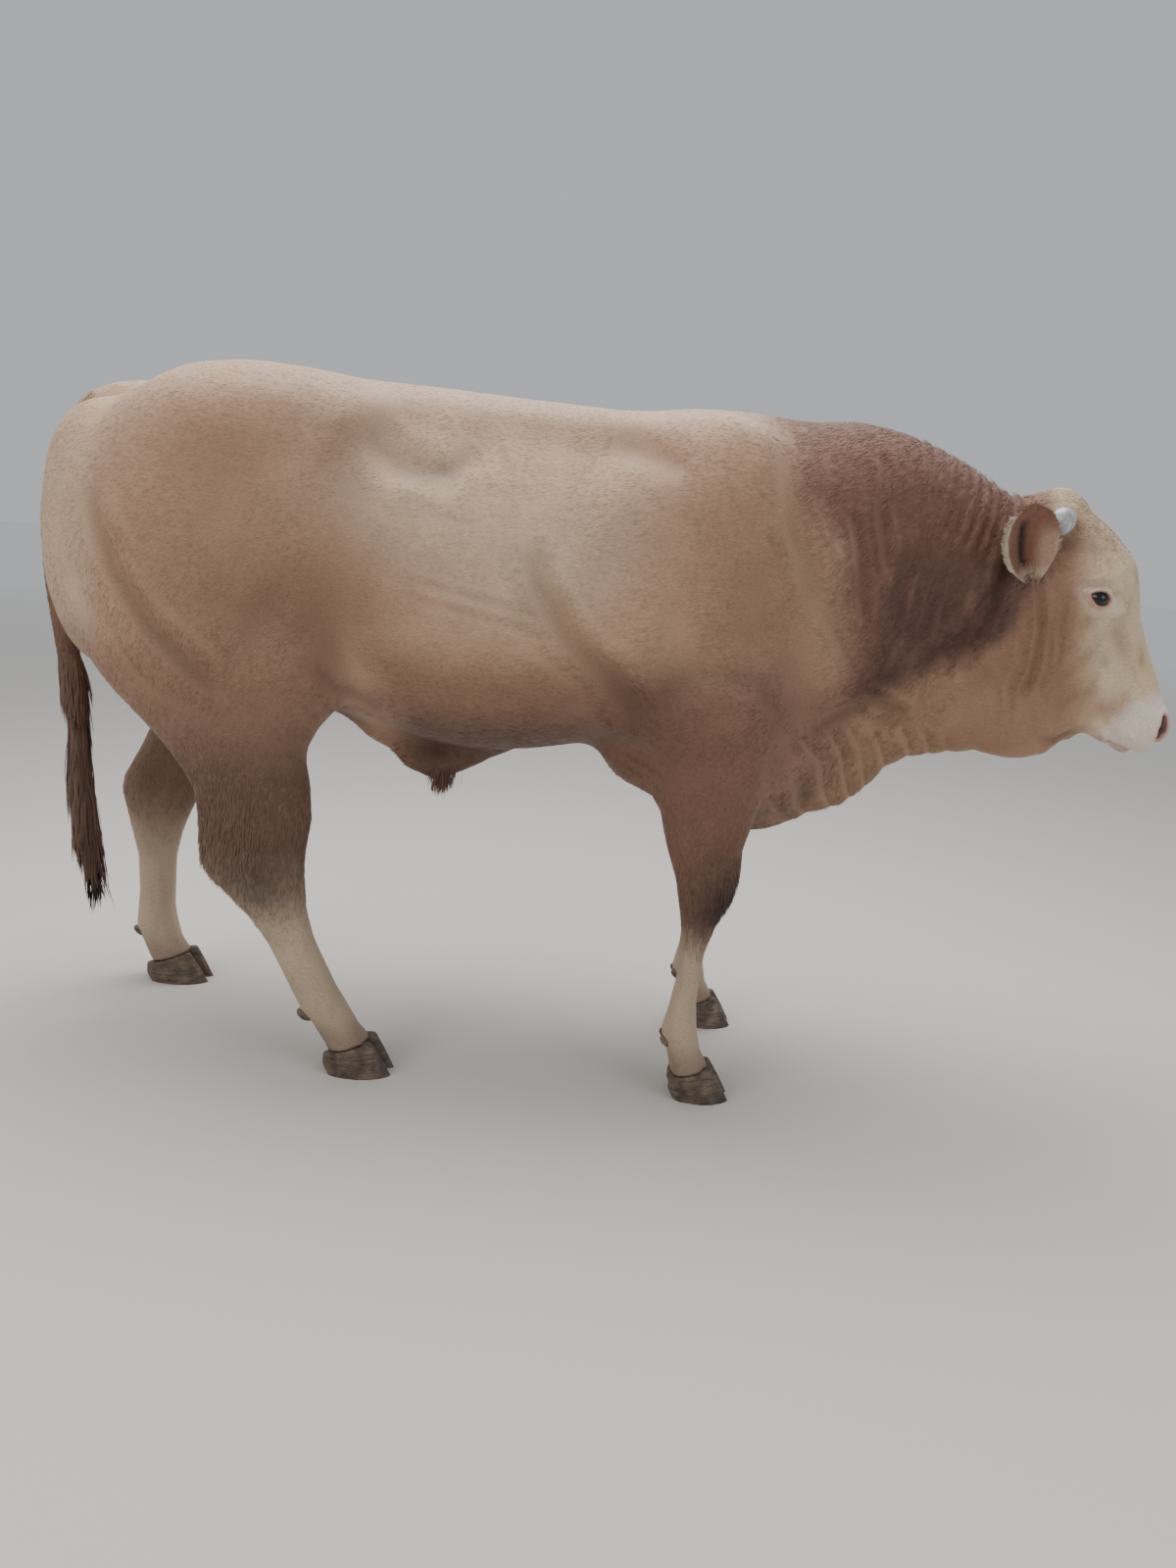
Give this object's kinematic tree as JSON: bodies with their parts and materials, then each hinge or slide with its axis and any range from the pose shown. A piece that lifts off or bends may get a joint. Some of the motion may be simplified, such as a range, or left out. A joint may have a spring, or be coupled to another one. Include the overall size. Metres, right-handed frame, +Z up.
{
  "type": "blonde d'aquitaine cattle",
  "caption": "Life-size still model of a standing blonde beef bull with a deep muscled body, short horn buds, cloven hooves and a haired tail switch",
  "frame": {"origin": "the middle of the bounding box in plan, on the floor the hooves stand on", "axes": "+X towards the head, +Y to the animal's left, +Z up"},
  "size_m": [2.5474, 0.7232, 1.5531],
  "materials": {
    "ear": "short red-brown hair",
    "eye": "wet dark eye",
    "foreclaw": "satin horn",
    "foredewclaw": "satin horn",
    "foreleg": "short cream coat",
    "head": "short cream coat",
    "hindclaw": "satin horn",
    "hinddewclaw": "satin horn",
    "hindleg": "short cream coat",
    "horn_bud": "pale satin horn",
    "neck": "red-brown wavy coat",
    "scrotum": "bare skin",
    "sheath": "short coat and longer hair",
    "tail": "short blond coat",
    "tail_switch": "long brown hair",
    "torso": "short blond coat"
  },
  "bodies": {
    "root": {"ear_left": "ear", "ear_right": "ear", "eye_left": "eye", "eye_right": "eye", "foreclaw_left_inner": "foreclaw", "foreclaw_left_outer": "foreclaw", "foreclaw_right_inner": "foreclaw", "foreclaw_right_outer": "foreclaw", "foredewclaw_left_inner": "foredewclaw", "foredewclaw_left_outer": "foredewclaw", "foredewclaw_right_inner": "foredewclaw", "foredewclaw_right_outer": "foredewclaw", "foreleg_left": "foreleg", "foreleg_right": "foreleg", "head": "head", "hindclaw_left_inner": "hindclaw", "hindclaw_left_outer": "hindclaw", "hindclaw_right_inner": "hindclaw", "hindclaw_right_outer": "hindclaw", "hinddewclaw_left_inner": "hinddewclaw", "hinddewclaw_left_outer": "hinddewclaw", "hinddewclaw_right_inner": "hinddewclaw", "hinddewclaw_right_outer": "hinddewclaw", "hindleg_left": "hindleg", "hindleg_right": "hindleg", "horn_bud_left": "horn_bud", "horn_bud_right": "horn_bud", "neck": "neck", "scrotum": "scrotum", "sheath": "sheath", "tail": "tail", "tail_switch": "tail_switch", "torso": "torso"}
  },
  "joints": []
}
